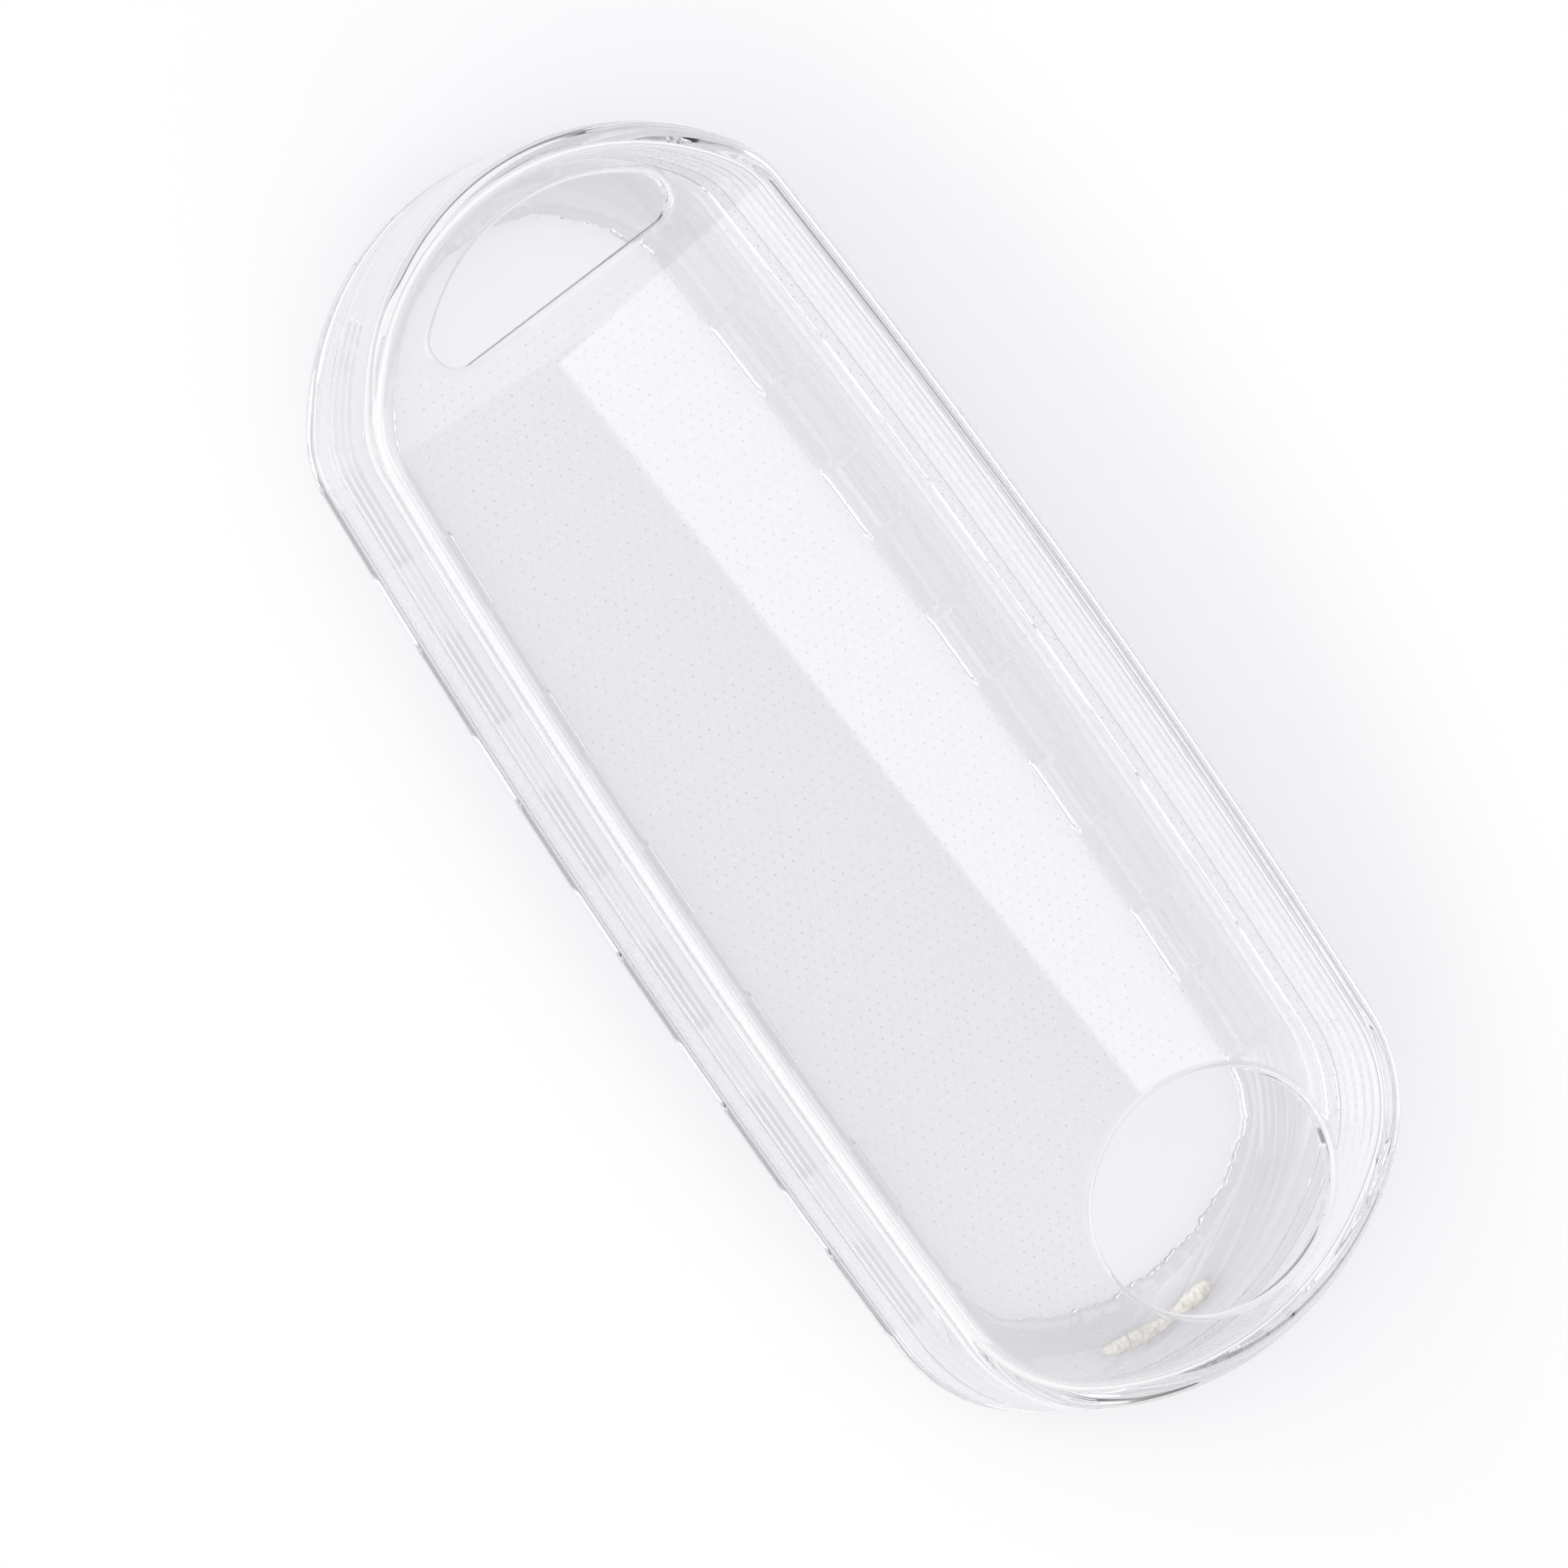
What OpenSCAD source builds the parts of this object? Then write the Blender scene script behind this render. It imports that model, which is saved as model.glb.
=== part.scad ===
// Clear two-piece cover for a slim key fob.
// The deep front shell has the flat face, a loop window, a badge hole and ribbed walls.
// The rear frame is the flat rim round the back opening, and its tongue plugs up into the wall.
// The cover lies on its back: +Y is the slim end with the window, +Z looks out of the face.

/* [Outline] */
// Width of the cover at its widest place
cover_w = 35.5; // [32:0.5:42]
// Length of the cover from end to end
cover_l = 87.1; // [76:0.5:100]
// Radius of the gently bowed long sides
side_r = 600; // [450:10:1200]
// Distance of the widest place from mid length, towards the broad end
widest_drop = 10.3; // [4:0.1:12]
// Radius of the corners at the slim end
slim_corner_r = 6.4; // [6.2:0.1:8]
// Extra radius that makes the slim end flatter than a half circle
slim_end_flat = 0.6; // [0.2:0.05:2]
// Radius of the corners at the broad end
broad_corner_r = 10.9; // [8:0.1:13]
// Extra radius that makes the broad end flatter than a half circle
broad_end_flat = 4.4; // [2:0.05:8]

/* [Height] */
// Height of the face above the table
cover_h = 12.6; // [11.6:0.1:16]
// Radius of the edge between the face and the wall
face_edge_r = 1.3; // [0.8:0.1:2]
// Radius of the corner between the face and the wall inside
inner_edge_r = 0.6; // [0.3:0.1:1]
// Radius of the edge between the wall and the back
back_edge_r = 1.7; // [1:0.1:2.3]

/* [Walls] */
// Thickness of the side wall
wall_t = 1.2; // [1.1:0.05:1.8]
// Thickness of the face
face_t = 1.15; // [0.8:0.05:1.6]
// Thickness of the back rim
back_t = 1.2; // [0.9:0.05:1.6]
// Distance of the back opening's edge from the outline, along the sides and the broad end
rim_w = 5.7; // [4.8:0.1:6]
// The same distance at the tip of the slim end
rim_slim_w = 4.1; // [3.4:0.1:4.6]
// Direction of the outline at which the rim begins to narrow, from the side
rim_slim_start = 30; // [20:1:40]
// Direction of the outline at which the rim has its width at the slim tip
rim_slim_end = 75; // [65:1:85]
// Small bevel along the edge of the back opening
rim_bevel = 0.25; // [0.1:0.05:0.4]

/* [Joint between the two mouldings] */
// Height of the parting line above the table
split_h = 2.6; // [2.4:0.1:3.2]
// Height of the tongue above the parting line
tongue_h = 2; // [1.2:0.1:2.4]
// Thickness of the tongue
tongue_t = 0.45; // [0.4:0.05:0.6]
// Gap between the tongue's face and the wall
tongue_gap = 0.06; // [0.04:0.01:0.1]
// Gap above the tongue
tongue_top_gap = 0.2; // [0.1:0.05:0.4]

/* [Ribs] */
// Number of ribs up the wall
rib_count = 6; // [4:1:6]
// Height from one rib to the next
rib_pitch = 1.2; // [0.8:0.05:1.25]
// Depth of the grooves between the ribs
rib_depth = 0.2; // [0.1:0.01:0.3]
// Direction of the wall at which the ribs begin to fade, from the side
rib_fade_start = 40; // [20:1:50]
// Direction of the wall at which the ribs have gone
rib_fade_end = 68; // [55:1:85]

/* [Badge hole] */
// Width of the oval hole across the face
badge_w = 16.8; // [12:0.1:19]
// Length of the oval hole along the face
badge_l = 14.2; // [10:0.1:16]
// Distance of the hole's middle from the tip of the broad end
badge_from_tip = 10.1; // [9.8:0.1:14]
// Distance of the hole's middle from the centre line
badge_side = 1.4; // [0:0.1:2]

/* [Loop window] */
// Radius of the curved edge of the D-shaped window
window_arc_r = 13.5; // [12:0.1:15]
// Length of the window along the cover, from its straight edge to its top
window_l = 5.9; // [5:0.1:6.5]
// Distance of the top of the window from the slim tip
window_from_tip = 2.9; // [2.6:0.1:4.5]
// Radius of the window's two corners
window_corner_r = 1.6; // [0.8:0.1:2]

/* [Pockets in the rim] */
// Number of pockets along each side of the back opening
pocket_count = 6; // [3:1:6]
// Length of a pocket
pocket_l = 6.1; // [4:0.1:7]
// Distance from one pocket to the next
pocket_pitch = 11.4; // [9:0.1:11.6]
// Width of a pocket, from the opening's edge outwards
pocket_w = 1.1; // [0.6:0.05:1.5]
// Depth of a pocket in the rim's inside face
pocket_depth = 0.45; // [0.2:0.05:0.6]
// Distance of the row's middle from mid length, towards the slim end
pocket_shift = 0.8; // [0:0.1:1.2]

/* [Gate stub] */
// Length of the trimmed gate stub on the rim
gate_l = 8.8; // [4:0.1:12]
// Width of the stub
gate_w = 1.2; // [0.6:0.05:1.6]
// Height of the stub above the rim
gate_h = 0.35; // [0.2:0.05:0.6]
// Distance of the stub from the outline
gate_inset = 2.4; // [1.9:0.05:3.6]
// Distance of the stub's middle from the centre line
gate_side = 2.2; // [0:0.1:4]

/* [Hidden] */

// Steps along each arc of the outline, and over each rounded edge
end_steps = 7;
corner_steps = 8;
side_steps = 4;
edge_steps = 5;
inner_steps = 3;
window_steps = 14;
badge_sides = 60;
// Extra length of a cut past the face that it opens
overrun = 1;
// Depth to which a raised pad is rooted in what carries it
root_depth = 0.3;

tip_y = cover_l / 2;
side_c = [cover_w / 2 - side_r, -widest_drop];
slim_end_r = cover_w / 2 + slim_end_flat;
slim_end_c = [0, tip_y - slim_end_r];
broad_end_r = cover_w / 2 + broad_end_flat;
broad_end_c = [0, broad_end_r - tip_y];
tongue_face = wall_t - tongue_t;
rebate_face = tongue_face - tongue_gap;
rebate_top = split_h + tongue_h + tongue_top_gap;

// Centre of the corner arc that touches the side arc and an end arc from inside
function corner_centre(end_c, end_r, corner_r, turn) =
  let(
    away = end_c - side_c,
    span = norm(away),
    dir = away / span,
    side_gap = side_r - corner_r,
    end_gap = end_r - corner_r,
    along = (side_gap * side_gap - end_gap * end_gap + span * span) / (2 * span),
    out = sqrt(side_gap * side_gap - along * along)
  )
  side_c + along * dir + turn * out * [-dir[1], dir[0]];

function direction(from, to) = atan2(to[1] - from[1], to[0] - from[0]);

slim_corner_c = corner_centre(slim_end_c, slim_end_r, slim_corner_r, 1);
broad_corner_c = corner_centre(broad_end_c, broad_end_r, broad_corner_r, -1);
slim_side_a = direction(side_c, slim_corner_c);
slim_end_a = direction(slim_end_c, slim_corner_c);
broad_side_a = direction(side_c, broad_corner_c);
broad_end_a = direction(broad_end_c, broad_corner_c);

// Arcs of the right half from the broad tip to the slim tip: centre, radius, first and last direction, steps
ARCS = [
  [broad_end_c, broad_end_r, -90, broad_end_a, end_steps],
  [broad_corner_c, broad_corner_r, broad_end_a, broad_side_a, corner_steps],
  [side_c, side_r, broad_side_a, 0, side_steps],
  [side_c, side_r, 0, slim_side_a, side_steps],
  [slim_corner_c, slim_corner_r, slim_side_a, slim_end_a, corner_steps],
  [slim_end_c, slim_end_r, slim_end_a, 90, end_steps]
];

// Stations along the right half: arc centre, arc radius and direction of the outline's normal
STATIONS = concat(
  [for (arc = ARCS) for (i = [0 : arc[4] - 1]) [arc[0], arc[1], arc[2] + (arc[3] - arc[2]) * i / arc[4]]],
  [[slim_end_c, slim_end_r, 90]]
);
HALF = len(STATIONS);
AROUND = 2 * HALF - 2;

// Smooth step from 0 at the first direction to 1 at the last
function turned_share(dir, first, last) =
  let(t = max(0, min(1, (dir - first) / (last - first))))
  t * t * (3 - 2 * t);

// Share of the full rib depth where the wall looks in a direction
function rib_share(dir) = 1 - turned_share(abs(dir), rib_fade_start, rib_fade_end);

// One level of a moulding is [inset from the outline, depth of the rib groove there, height above the table,
// and how much smaller the inset is at the slim tip]
function level_point(s, level) =
  let(
    slim_less = len(level) > 3 ? level[3] * turned_share(s[2], rim_slim_start, rim_slim_end) : 0,
    inset = level[0] + level[1] * rib_share(s[2]) - slim_less,
    p = s[0] + (s[1] - inset) * [cos(s[2]), sin(s[2])]
  )
  [p[0], p[1], level[2]];

function level_ring(level) =
  let(half = [for (s = STATIONS) level_point(s, level)])
  concat(half, [for (i = [HALF - 2 : -1 : 1]) [-half[i][0], half[i][1], half[i][2]]]);

// Triangles between one ring of points and the next
function band(a, b) =
  [for (j = [0 : AROUND - 1]) let(k = (j + 1) % AROUND)
    each [[a * AROUND + j, a * AROUND + k, b * AROUND + k],
          [a * AROUND + j, b * AROUND + k, b * AROUND + j]]];

// Triangles that close a ring straight across the cover
function cap_faces(ring, up) =
  let(base = ring * AROUND)
  [for (i = [0 : HALF - 2])
    let(r0 = base + i, r1 = base + i + 1, l0 = base + (AROUND - i) % AROUND, l1 = base + AROUND - i - 1)
    each concat(
      i > 0 ? [up ? [r0, l0, l1] : [r0, l1, l0]] : [],
      i < HALF - 2 ? [up ? [r0, l1, r1] : [r0, r1, l1]] : []
    )];

// A moulding closed at its first and last level, such as the shell
module cup(levels) {
  last = len(levels) - 1;
  polyhedron(
    points = [for (level = levels) each level_ring(level)],
    faces = concat(
      cap_faces(0, true),
      [for (i = [0 : last - 1]) each band(i, i + 1)],
      cap_faces(last, false)
    ),
    convexity = 8
  );
}

// A moulding whose last level meets its first, such as the frame
module hoop(levels) {
  count = len(levels);
  polyhedron(
    points = [for (level = levels) each level_ring(level)],
    faces = [for (i = [0 : count - 1]) each band(i, (i + 1) % count)],
    convexity = 8
  );
}

// Levels over the rounded edge between face and wall, to or from the face at a height
function face_edge(inset, r, top, steps, outwards) =
  [for (i = [0 : steps])
    let(a = 90 * (outwards ? i : steps - i) / steps)
    [inset + r * (1 - sin(a)), 0, top - r * (1 - cos(a))]];

// Levels down the ribbed wall: a crest, then a groove and a crest for each rib
function rib_levels() =
  concat(
    [[0, 0, split_h + rib_count * rib_pitch]],
    [for (i = [rib_count - 1 : -1 : 0], groove = [1, 0])
      [0, groove * rib_depth, split_h + (i + groove / 2) * rib_pitch]]
  );

module front_shell() {
  color("aliceblue", 0.5)
    difference() {
      cup(concat(
        face_edge(0, face_edge_r, cover_h, edge_steps, true),
        rib_levels(),
        [
          [rebate_face, 0, split_h],
          [rebate_face, 0, rebate_top],
          [wall_t, 0, rebate_top]
        ],
        face_edge(wall_t, inner_edge_r, cover_h - face_t, inner_steps, false)
      ));
      badge_cut();
      window_cut();
    }
}

// Oval hole through the face over the badge
module badge_cut() {
  translate([badge_side, badge_from_tip - tip_y, rebate_top])
    linear_extrude(cover_h)
      polygon([for (i = [0 : badge_sides - 1])
        let(a = 360 * i / badge_sides)
        [badge_w / 2 * cos(a), badge_l / 2 * sin(a)]]);
}

// D-shaped window through the face over the fob's loop
module window_cut() {
  arc_y = tip_y - window_from_tip - window_arc_r;
  corner_y = tip_y - window_from_tip - window_l + window_corner_r;
  corner_x = sqrt(pow(window_arc_r - window_corner_r, 2) - pow(corner_y - arc_y, 2));
  meet_a = atan2(corner_y - arc_y, corner_x);
  right = concat(
    [for (i = [0 : corner_steps])
      let(a = -90 + (90 + meet_a) * i / corner_steps)
      [corner_x, corner_y] + window_corner_r * [cos(a), sin(a)]],
    [for (i = [1 : window_steps])
      let(a = meet_a + (90 - meet_a) * i / window_steps)
      [0, arc_y] + window_arc_r * [cos(a), sin(a)]]
  );
  last = len(right) - 1;
  translate([0, 0, rebate_top])
    linear_extrude(cover_h)
      polygon(concat(right, [for (i = [last - 1 : -1 : 0]) [-right[i][0], right[i][1]]]));
}

// Half width of the back opening at a place along the cover
function opening_x(y) =
  side_c[0] + sqrt(pow(side_r - rim_w, 2) - pow(y - side_c[1], 2));

module rear_frame() {
  color("lightsteelblue", 0.5) {
    difference() {
      hoop(concat(
        [[0, 0, split_h]],
        [for (i = [0 : edge_steps])
          let(a = 90 * i / edge_steps)
          [back_edge_r * (1 - cos(a)), 0, back_edge_r * (1 - sin(a))]],
        [
          [rim_w - rim_bevel, 0, 0, rim_w - rim_slim_w],
          [rim_w, 0, rim_bevel, rim_w - rim_slim_w],
          [rim_w, 0, back_t - rim_bevel, rim_w - rim_slim_w],
          [rim_w - rim_bevel, 0, back_t, rim_w - rim_slim_w],
          [wall_t, 0, back_t],
          [wall_t, 0, split_h + tongue_h],
          [tongue_face, 0, split_h + tongue_h],
          [tongue_face, 0, split_h]
        ]
      ));
      for (i = [0 : pocket_count - 1], side = [-1, 1])
        pocket_cut(pocket_shift + pocket_pitch * (i - (pocket_count - 1) / 2), side);
    }
    gate_stub();
  }
}

// Shallow pocket in the rim's inside face, open to the back opening
module pocket_cut(y, side) {
  x = opening_x(y);
  translate([side * x - (side < 0 ? pocket_w : overrun), y - pocket_l / 2, back_t - pocket_depth])
    cube([pocket_w + overrun, pocket_l, overrun]);
}

// Stub left where the moulding's gate was trimmed off
module gate_stub() {
  outer_r = broad_end_r - gate_inset;
  half_a = asin(gate_l / 2 / outer_r);
  middle_a = asin(gate_side / outer_r);
  translate([0, broad_end_c[1], back_t - root_depth])
    rotate([0, 0, -90 - middle_a - half_a])
      rotate_extrude(angle = 2 * half_a, $fn = 96)
        translate([outer_r - gate_w, 0])
          square([gate_w, gate_h + root_depth]);
}

front_shell();
rear_frame();
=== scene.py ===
import math

import bpy
import numpy as np
from mathutils import Matrix, Vector
from mathutils.geometry import delaunay_2d_cdt


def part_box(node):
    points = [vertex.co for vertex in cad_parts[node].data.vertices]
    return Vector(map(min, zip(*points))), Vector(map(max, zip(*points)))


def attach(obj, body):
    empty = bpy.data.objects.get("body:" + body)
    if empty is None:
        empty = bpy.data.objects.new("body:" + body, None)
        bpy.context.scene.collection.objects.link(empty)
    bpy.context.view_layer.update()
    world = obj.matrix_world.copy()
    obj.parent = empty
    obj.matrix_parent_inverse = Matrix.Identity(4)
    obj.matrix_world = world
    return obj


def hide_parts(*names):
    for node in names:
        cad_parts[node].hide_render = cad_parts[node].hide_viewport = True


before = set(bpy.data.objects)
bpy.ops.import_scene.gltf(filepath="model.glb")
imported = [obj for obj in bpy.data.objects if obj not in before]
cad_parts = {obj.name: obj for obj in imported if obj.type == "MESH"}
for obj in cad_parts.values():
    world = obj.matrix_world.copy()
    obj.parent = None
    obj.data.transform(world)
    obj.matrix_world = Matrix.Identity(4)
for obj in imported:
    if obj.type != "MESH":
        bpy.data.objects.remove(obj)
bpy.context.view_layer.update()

# The camera looks down on the face from beyond the slim end's left side,
# with a long lens, as the photograph does.
MM = 0.001
camera_target = Vector((-4.64, 2.04, 7.5)) * MM
camera_distance = 613.2 * MM
camera_tilt = math.radians(22.80)
camera_swing = math.radians(153.79)
camera_roll = math.radians(-34.75)
camera_lens = 231.57

camera_data = bpy.data.cameras.new("camera")
camera_data.sensor_width = 36
camera_data.lens = camera_lens
camera_data.clip_start = 10 * MM
camera_data.clip_end = 20
camera = bpy.data.objects.new("camera", camera_data)
bpy.context.scene.collection.objects.link(camera)
back = Vector((
    math.sin(camera_tilt) * math.cos(camera_swing),
    math.sin(camera_tilt) * math.sin(camera_swing),
    math.cos(camera_tilt),
))
level_right = Vector((0, 1, 0)).cross(back).normalized()
right = Matrix.Rotation(camera_roll, 3, back) @ level_right
camera.matrix_world = Matrix.Translation(camera_target + back * camera_distance) @ Matrix(
    (right, back.cross(right), back)
).transposed().to_4x4()
bpy.context.scene.camera = camera

# The front shell is one deep moulding in clear, glossy plastic: a flat face with a badge
# hole and a loop window, and a wall that comes down to the parting line. Fine reeds run
# round the lower two thirds of the wall and fade out at the two ends.
shell_low, shell_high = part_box("front_shell")
cover_w = (shell_high.x - shell_low.x) / MM
cover_l = (shell_high.y - shell_low.y) / MM
cover_h = shell_high.z / MM
split_h = shell_low.z / MM
tip_y = cover_l / 2
side_r = 600
widest_drop = 10.3
slim_corner_r, slim_end_flat = 6.4, 0.6
broad_corner_r, broad_end_flat = 10.9, 4.4
face_edge_r, inner_edge_r = 1.3, 0.6
wall_t, face_t = 1.2, 1.15
tongue_t, tongue_gap, rebate_h = 0.45, 0.06, 2.2
soft_edge = 0.1
parting_gap = 0.03


def cover_outline(end_steps, corner_steps, side_steps):
    """Points of the outline, and the direction it looks in at each, once round from the broad tip."""
    side_c = np.array([cover_w / 2 - side_r, -widest_drop])
    ends = {}
    for turn, flat, corner_r in ((-1, broad_end_flat, broad_corner_r), (1, slim_end_flat, slim_corner_r)):
        end_r = cover_w / 2 + flat
        end_c = np.array([0, turn * (tip_y - end_r)])
        span = np.linalg.norm(end_c - side_c)
        along_dir = (end_c - side_c) / span
        side_gap, end_gap = side_r - corner_r, end_r - corner_r
        along = (side_gap**2 - end_gap**2 + span**2) / (2 * span)
        out = math.sqrt(side_gap**2 - along**2)
        corner_c = side_c + along * along_dir + turn * out * np.array([-along_dir[1], along_dir[0]])
        side_a = math.atan2(*(corner_c - side_c)[::-1])
        end_a = math.atan2(*(corner_c - end_c)[::-1])
        ends[turn] = (end_c, end_r, end_a, corner_c, corner_r, side_a)
    low, high = ends[-1], ends[1]
    arcs = (
        (low[0], low[1], -math.pi / 2, low[2], end_steps),
        (low[3], low[4], low[2], low[5], corner_steps),
        (side_c, side_r, low[5], high[5], side_steps),
        (high[3], high[4], high[5], high[2], corner_steps),
        (high[0], high[1], high[2], math.pi / 2, end_steps),
    )
    points, looks = [], []
    for centre, radius, first, last, steps in arcs:
        for a in np.linspace(first, last, steps, endpoint=False):
            look = np.array([math.cos(a), math.sin(a)])
            points.append(centre + radius * look)
            looks.append(look)
    points.append(np.array([0, tip_y]))
    looks.append(np.array([0.0, 1.0]))
    points[0][0] = looks[0][0] = 0
    mirror = np.array([-1, 1])
    points += [p * mirror for p in points[-2:0:-1]]
    looks += [d * mirror for d in looks[-2:0:-1]]
    return np.array(points), np.array(looks)


def lifted(flat, height):
    """Flat points raised to a height."""
    return np.column_stack([flat, np.broadcast_to(height, len(flat))])


def ring_quads(first, second, count, flip=False):
    """Faces between two rings of points that start at these indices."""
    j = np.arange(count)
    k = (j + 1) % count
    quads = np.column_stack([first + j, second + j, second + k, first + k])
    return (quads[:, ::-1] if flip else quads).tolist()


def add_piece(name, points, faces, sharp_angle):
    """A mesh object at the origin, smooth but for its sharp edges, from points in millimetres."""
    mesh = bpy.data.meshes.new(name)
    mesh.from_pydata((np.asarray(points) * MM).tolist(), [], faces)
    mesh.shade_smooth()
    mesh.set_sharp_from_angle(angle=sharp_angle)
    piece = bpy.data.objects.new(name, mesh)
    bpy.context.scene.collection.objects.link(piece)
    return piece


badge_w, badge_l, badge_from_tip, badge_side = 16.8, 14.2, 10.1, 1.4
window_arc_r, window_l, window_from_tip, window_corner_r = 13.5, 5.9, 2.9, 1.6
hole_round, hole_inner_round = 0.34, 0.16
hole_steps, hole_edge_steps, hole_inner_steps = 160, 6, 4


def badge_outline():
    """The oval badge hole, anticlockwise, with the direction away from its middle at each point."""
    a = np.linspace(0, 2 * math.pi, hole_steps, endpoint=False)
    middle = np.array([badge_side, badge_from_tip - tip_y])
    points = middle + np.column_stack([badge_w / 2 * np.cos(a), badge_l / 2 * np.sin(a)])
    looks = np.column_stack([np.cos(a) / badge_w, np.sin(a) / badge_l])
    return points, looks / np.linalg.norm(looks, axis=1)[:, None]


def window_outline():
    """The D-shaped loop window, anticlockwise from the middle of its straight edge."""
    arc_y = tip_y - window_from_tip - window_arc_r
    corner_y = tip_y - window_from_tip - window_l + window_corner_r
    corner_x = math.sqrt((window_arc_r - window_corner_r) ** 2 - (corner_y - arc_y) ** 2)
    meet = math.atan2(corner_y - arc_y, corner_x)
    points, looks = [], []
    for x in np.linspace(0, corner_x, hole_steps // 8, endpoint=False):
        points.append((x, corner_y - window_corner_r))
        looks.append((0, -1))
    for a in np.linspace(-math.pi / 2, meet, hole_steps // 8, endpoint=False):
        x, y = corner_x + window_corner_r * math.cos(a), corner_y + window_corner_r * math.sin(a)
        points.append((x, y))
        looks.append((math.cos(a), math.sin(a)))
    for a in np.linspace(meet, math.pi / 2, hole_steps // 4 + 1):
        points.append((window_arc_r * math.cos(a), arc_y + window_arc_r * math.sin(a)))
        looks.append((math.cos(a), math.sin(a)))
    points += [(-x, y) for x, y in points[-2:0:-1]]
    looks += [(-x, y) for x, y in looks[-2:0:-1]]
    return np.array(points), np.array(looks)


edge_steps, rib_steps, inner_steps = 14, 12, 8
rib_count, rib_pitch = 6, 1.2
net_inset = 2.2
flat_band = 0.12
shell_points, shell_looks = cover_outline(end_steps=44, corner_steps=30, side_steps=110)
around = len(shell_points)
rings, phases = [], []


def shell_ring(inset, height, phase=-1):
    """Adds a ring of the shell; a ring on the ribbed wall also says how many ribs lie below it."""
    rings.append(lifted(shell_points - inset * shell_looks, height))
    phases.append(phase)


shell_ring(net_inset, cover_h)
shell_ring(face_edge_r + flat_band, cover_h)
for a in np.linspace(0, math.pi / 2, edge_steps + 1):
    shell_ring(face_edge_r * (1 - math.sin(a)), cover_h - face_edge_r * (1 - math.cos(a)))
wall_foot = split_h + parting_gap
ribs_foot = wall_foot + soft_edge
ribs_top = split_h + rib_count * rib_pitch
shell_ring(0, ribs_top + flat_band)
for k in range(rib_count * rib_steps, -1, -1):
    share = k / (rib_count * rib_steps)
    shell_ring(0, ribs_foot + share * (ribs_top - ribs_foot), phase=rib_count * share)
rebate_face = wall_t - tongue_t - tongue_gap
rebate_top = split_h + rebate_h
for inset, height in (
    (soft_edge, wall_foot),
    (rebate_face - soft_edge, wall_foot),
    (rebate_face, wall_foot + soft_edge),
    (rebate_face, rebate_top),
    (wall_t - soft_edge, rebate_top),
    (wall_t, rebate_top + soft_edge),
):
    shell_ring(inset, height)
under_h = cover_h - face_t
for a in np.linspace(math.pi / 2, 0, inner_steps + 1):
    shell_ring(wall_t + inner_edge_r * (1 - math.sin(a)), under_h - inner_edge_r * (1 - math.cos(a)))
shell_ring(net_inset, under_h)

shell_faces = []
for i in range(len(rings) - 1):
    shell_faces += ring_quads(i * around, (i + 1) * around, around)

# Both sides of the face share one net of triangles, with a gap left for each opening
face_pitch = 2.0
merge_span = 1e-6
face_ring = shell_points - net_inset * shell_looks
openings = [badge_outline(), window_outline()]
loops = [face_ring] + [points + hole_round * looks for points, looks in openings]
grid = np.array([
    (x, y)
    for y in np.arange(-tip_y, tip_y, face_pitch)
    for x in np.arange(-cover_w / 2, cover_w / 2, face_pitch)
])


def inside(points, loop):
    """Which points lie inside a closed loop: a level line from them crosses it an odd number of times."""
    never_zero = 1e-12
    x, y = points[:, 0:1], points[:, 1:2]
    x0, y0 = loop[:, 0], loop[:, 1]
    x1, y1 = np.roll(x0, -1), np.roll(y0, -1)
    cross_x = (x1 - x0) * (y - y0) / (y1 - y0 + never_zero) + x0
    crosses = ((y0 > y) != (y1 > y)) & (x < cross_x)
    return crosses.sum(1) % 2 == 1


grid = grid[inside(grid, shell_points - (net_inset + face_pitch / 2) * shell_looks)]
for points, looks in openings:
    grid = grid[~inside(grid, points + (hole_round + face_pitch / 2) * looks)]
    band = points + (hole_round + flat_band) * looks
    grid = np.vstack([band[inside(band, face_ring - flat_band * shell_looks)], grid])
flat_points = np.vstack(loops + [grid])
loop_edges, start = [], 0
for loop in loops:
    loop_edges += [(start + i, start + (i + 1) % len(loop)) for i in range(len(loop))]
    start += len(loop)
net = delaunay_2d_cdt([Vector(p) for p in flat_points], loop_edges, [], 0, merge_span)
source = [found[0] for found in net[3]]
triangles = np.array([[source[v] for v in triangle] for triangle in net[2]])
middles = flat_points[triangles].mean(1)
shown = inside(middles, face_ring)
for loop in loops[1:]:
    shown &= ~inside(middles, loop)
triangles = triangles[shown]

shell_vertices = list(rings)
count = len(rings) * around
net_index = []
for ring_start, height in ((0, cover_h), ((len(rings) - 1) * around, under_h)):
    index = np.arange(len(flat_points)) - around + count
    index[:around] = ring_start + np.arange(around)
    shell_vertices.append(lifted(flat_points[around:], height))
    count += len(flat_points) - around
    net_index.append(index)
shell_faces += net_index[0][triangles].tolist()
shell_faces += net_index[1][triangles[:, ::-1]].tolist()

start = around
for points, looks in openings:
    size = len(points)
    steps = [
        (hole_round * (1 - math.sin(a)), hole_round * (1 - math.cos(a)))
        for a in np.linspace(0, math.pi / 2, hole_edge_steps + 1)[1:]
    ] + [
        (hole_inner_round * (1 - math.sin(a)), face_t - hole_inner_round * (1 - math.cos(a)))
        for a in np.linspace(math.pi / 2, 0, hole_inner_steps + 1)
    ]
    previous = net_index[0][start]
    for out, drop in steps:
        shell_vertices.append(lifted(points + out * looks, cover_h - drop))
        shell_faces += ring_quads(previous, count, size, flip=True)
        previous = count
        count += size
    shell_faces += ring_quads(previous, net_index[1][start], size, flip=True)
    start += size

shell_sharp = math.radians(60)
front_shell = add_piece("front_shell_clear", np.vstack(shell_vertices), shell_faces, shell_sharp)

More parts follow.
